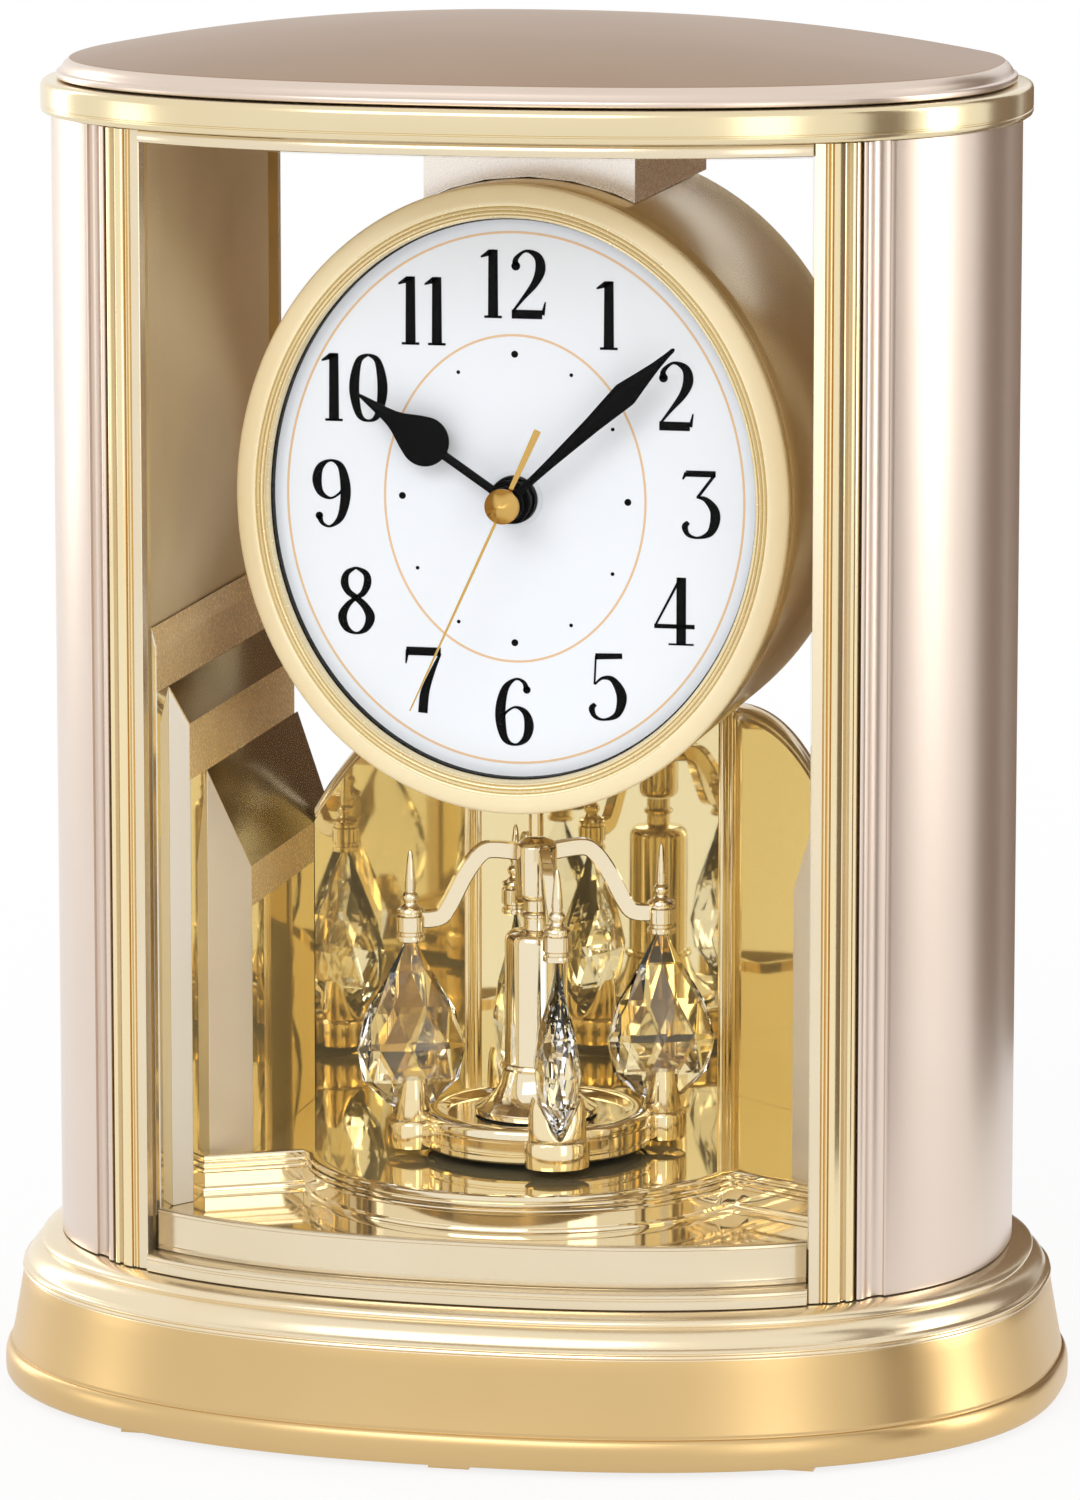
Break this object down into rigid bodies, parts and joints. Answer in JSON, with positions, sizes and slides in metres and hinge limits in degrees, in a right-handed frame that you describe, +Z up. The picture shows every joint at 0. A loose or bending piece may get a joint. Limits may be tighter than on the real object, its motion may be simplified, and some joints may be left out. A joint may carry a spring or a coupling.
{
  "type": "mantel clock",
  "caption": "Battery mantel clock with an oval dial in a glazed bowed case above a rotating pendulum that carries faceted crystal drops, on a flared base.",
  "frame": {"origin": "centre of the clock's footprint, on the surface it stands on", "axes": "+Z up, -Y the front with the dial, +X to the right as seen from the front"},
  "size_m": [0.2004, 0.1516, 0.2566],
  "materials": {
    "satin_gold": "satin gold",
    "gold_plate": "polished gold plating",
    "mirror_gold": "gold mirror",
    "champagne": "satin champagne pink paint",
    "column_cover": "satin champagne lacquer",
    "clear_pane": "clear",
    "crystal": "faceted clear",
    "dial_white": "white print",
    "hand_black": "gloss black",
    "hand_gold": "polished",
    "black_plastic": "matt black",
    "grey_plastic": "matt grey",
    "wheel_plastic": "natural",
    "weight_plate": "blackened"
  },
  "bodies": {
    "case": {"base_shell": "satin_gold", "base_plate": "black_plastic", "foot_1": "satin_gold", "foot_2": "satin_gold", "foot_3": "satin_gold", "foot_4": "satin_gold", "foot_5": "satin_gold", "niche_plinth": "gold_plate", "stage": "mirror_gold", "balcony_moulding": "gold_plate", "inner_rail": "gold_plate", "front_frame": "gold_plate", "front_window": "clear_pane", "column_left": "column_cover", "column_right": "column_cover", "inner_wall_left": "champagne", "inner_wall_right": "champagne", "wing_left": "gold_plate", "wing_right": "gold_plate", "niche_back": "mirror_gold", "top_deck": "champagne", "lid_band": "gold_plate", "lid_plate": "champagne", "hanger_block": "champagne", "drum_shell": "champagne", "drum_rear_cover": "grey_plastic", "bezel": "gold_plate", "dial": "dial_white", "dial_nut": "black_plastic", "movement_case": "black_plastic", "movement_lid": "grey_plastic", "battery_tray": "grey_plastic", "pendulum_drive": "black_plastic", "suspension_bush": "gold_plate"},
    "hour": {"hour_hand": "hand_black", "hour_wheel": "wheel_plastic"},
    "minute": {"minute_hand": "hand_black", "minute_wheel": "wheel_plastic"},
    "second": {"second_hand": "hand_gold", "second_wheel": "wheel_plastic", "hand_cap": "hand_gold"},
    "setting": {"set_knob": "black_plastic", "setting_wheel": "wheel_plastic"},
    "pendulum": {"platform": "gold_plate", "platform_weight": "weight_plate", "post": "gold_plate", "spider": "gold_plate", "hanger_rod": "gold_plate", "crystal_1": "crystal", "crystal_2": "crystal", "crystal_3": "crystal", "crystal_4": "crystal", "crystal_cup_1": "gold_plate", "crystal_cup_2": "gold_plate", "crystal_cup_3": "gold_plate", "crystal_cup_4": "gold_plate"},
    "rear_door": {"rear_door_frame": "gold_plate", "rear_window": "clear_pane", "door_pull": "hand_gold"},
    "battery_hatch": {"battery_door": "black_plastic"}
  },
  "joints": [
    {"name": "hour_turn", "type": "hinge", "parent": "case", "child": "hour", "pos_m": [0, -0.0179, 0.1691], "axis": [0, 1, 0], "continuous": true},
    {"name": "minute_turn", "type": "hinge", "parent": "case", "child": "minute", "pos_m": [0, -0.0179, 0.1691], "axis": [0, 1, 0], "continuous": true},
    {"name": "second_turn", "type": "hinge", "parent": "case", "child": "second", "pos_m": [0, -0.0179, 0.1691], "axis": [0, 1, 0], "continuous": true},
    {"name": "setting_turn", "type": "hinge", "parent": "case", "child": "setting", "pos_m": [0, 0.0544, 0.1884], "axis": [0, 1, 0], "continuous": true},
    {"name": "pendulum_turn", "type": "hinge", "parent": "case", "child": "pendulum", "pos_m": [0, 0, 0.0433], "axis": [0, 0, 1], "range_deg": [-180, 180]},
    {"name": "rear_door_hinge", "type": "hinge", "parent": "case", "child": "rear_door", "pos_m": [0.0668, 0.04697, 0.0287], "axis": [0, 0, -1], "range_deg": [0, 100]},
    {"name": "battery_hatch_slide", "type": "slide", "parent": "case", "child": "battery_hatch", "axis": [0, 0, 1], "range_m": [0, 0.018]}
  ],
  "couplings": [
    {"joint": "hour_turn", "follows": "minute_turn", "ratio": 0.083333},
    {"joint": "setting_turn", "follows": "minute_turn", "ratio": -2.1667}
  ]
}
